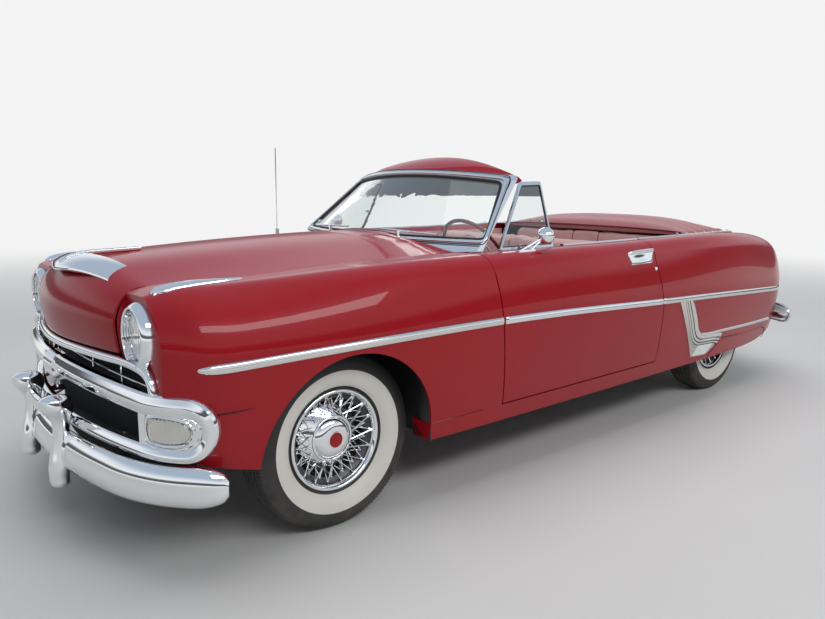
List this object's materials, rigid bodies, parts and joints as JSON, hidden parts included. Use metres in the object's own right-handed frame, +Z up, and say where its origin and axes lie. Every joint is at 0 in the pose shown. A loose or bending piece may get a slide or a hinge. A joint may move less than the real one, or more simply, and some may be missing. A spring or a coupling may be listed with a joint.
{
  "type": "convertible car",
  "caption": "Full-size two-door 1950s convertible with the top folded under a boot, low skirted rear wheels, chrome grille and bumpers, and opening doors, hood and decklid.",
  "frame": {"origin": "on the ground below the centre of the bounding box", "axes": "+X forward, +Y to the car's left, +Z up"},
  "size_m": [5.296, 1.9726, 1.5849],
  "materials": {
    "paint": "gloss",
    "chrome": "polished",
    "stainless": "bright",
    "chassis_black": "satin",
    "engine_iron": "cast",
    "glass": "clear",
    "lamp_glass": "clear",
    "tail_red": "gloss",
    "leather": "satin",
    "boot_fabric": "woven",
    "tyre": "matt",
    "wheel_plastic": "gloss",
    "radiator_core": "matt",
    "steel_tube": "satin"
  },
  "bodies": {
    "body": {"antenna": "stainless", "cowl_panel": "paint", "dashboard": "paint", "engine": "engine_iron", "exhaust": "steel_tube", "fender_spears": "chrome", "floor_pan": "chassis_black", "front_bumper": "chrome", "front_fender_left": "paint", "front_fender_right": "paint", "front_seat_back": "leather", "front_seat_cushion": "leather", "front_suspension": "chassis_black", "fuel_tank": "steel_tube", "grille": "chrome", "headlamp_bezels": "chrome", "headlamps": "lamp_glass", "inner_fenders": "chassis_black", "parking_lamp_lenses": "lamp_glass", "radiator": "radiator_core", "rear_axle": "chassis_black", "rear_bumper": "chrome", "rear_deck": "paint", "rear_quarter_left": "paint", "rear_quarter_right": "paint", "rear_seat_back": "leather", "rear_seat_cushion": "leather", "side_mouldings": "stainless", "sills": "paint", "steering_column": "chassis_black", "tail_lamps": "tail_red", "top_boot": "boot_fabric", "windshield_frame": "chrome", "windshield_glass": "glass", "windshield_header": "paint", "wipers": "chrome"},
    "door_left": {"door_left": "paint", "door_trim_left": "stainless", "mirror_left": "chrome", "vent_window_left": "chrome"},
    "door_right": {"door_right": "paint", "door_trim_right": "stainless", "mirror_right": "chrome", "vent_window_right": "chrome"},
    "hood": {"hood": "paint", "hood_ornament": "chrome"},
    "decklid": {"decklid": "paint"},
    "knuckle_left": {"knuckle_left": "chassis_black"},
    "knuckle_right": {"knuckle_right": "chassis_black"},
    "steering_wheel": {"steering_wheel": "wheel_plastic"},
    "wheel_front_left": {"wheel_front_left": "chrome", "tyre_front_left": "tyre"},
    "wheel_front_right": {"wheel_front_right": "chrome", "tyre_front_right": "tyre"},
    "wheel_rear_left": {"wheel_rear_left": "chrome", "tyre_rear_left": "tyre"},
    "wheel_rear_right": {"wheel_rear_right": "chrome", "tyre_rear_right": "tyre"}
  },
  "joints": [
    {"name": "door_left_hinge", "type": "hinge", "parent": "body", "child": "door_left", "pos_m": [0.872, 0.955, 0.7], "axis": [0, 0, -1], "range_deg": [0, 65]},
    {"name": "door_right_hinge", "type": "hinge", "parent": "body", "child": "door_right", "pos_m": [0.872, -0.955, 0.7], "axis": [0, 0, 1], "range_deg": [0, 65]},
    {"name": "hood_hinge", "type": "hinge", "parent": "body", "child": "hood", "pos_m": [0.93, 0, 1.08], "axis": [0, -1, 0], "range_deg": [0, 50]},
    {"name": "decklid_hinge", "type": "hinge", "parent": "body", "child": "decklid", "pos_m": [-1.53, 0, 1.047], "axis": [0, 1, 0], "range_deg": [0, 60]},
    {"name": "steer_left", "type": "hinge", "parent": "body", "child": "knuckle_left", "pos_m": [1.713, 0.63, 0.361], "axis": [0, 0, 1], "range_deg": [-28, 28]},
    {"name": "steer_right", "type": "hinge", "parent": "body", "child": "knuckle_right", "pos_m": [1.713, -0.63, 0.361], "axis": [0, 0, 1], "range_deg": [-28, 28]},
    {"name": "steering_wheel_turn", "type": "hinge", "parent": "body", "child": "steering_wheel", "pos_m": [0.52, 0.38, 1.012], "axis": [-0.848, 0, 0.5299], "range_deg": [-504, 504]},
    {"name": "wheel_front_left_spin", "type": "hinge", "parent": "knuckle_left", "child": "wheel_front_left", "pos_m": [1.713, 0.743, 0.361], "axis": [0, 1, 0], "continuous": true},
    {"name": "wheel_front_right_spin", "type": "hinge", "parent": "knuckle_right", "child": "wheel_front_right", "pos_m": [1.713, -0.743, 0.361], "axis": [0, 1, 0], "continuous": true},
    {"name": "wheel_rear_left_spin", "type": "hinge", "parent": "body", "child": "wheel_rear_left", "pos_m": [-1.437, 0.705, 0.361], "axis": [0, 1, 0], "continuous": true},
    {"name": "wheel_rear_right_spin", "type": "hinge", "parent": "body", "child": "wheel_rear_right", "pos_m": [-1.437, -0.705, 0.361], "axis": [0, 1, 0], "continuous": true}
  ],
  "couplings": [
    {"joint": "steer_right", "follows": "steer_left", "ratio": 1},
    {"joint": "steering_wheel_turn", "follows": "steer_left", "ratio": 16}
  ]
}
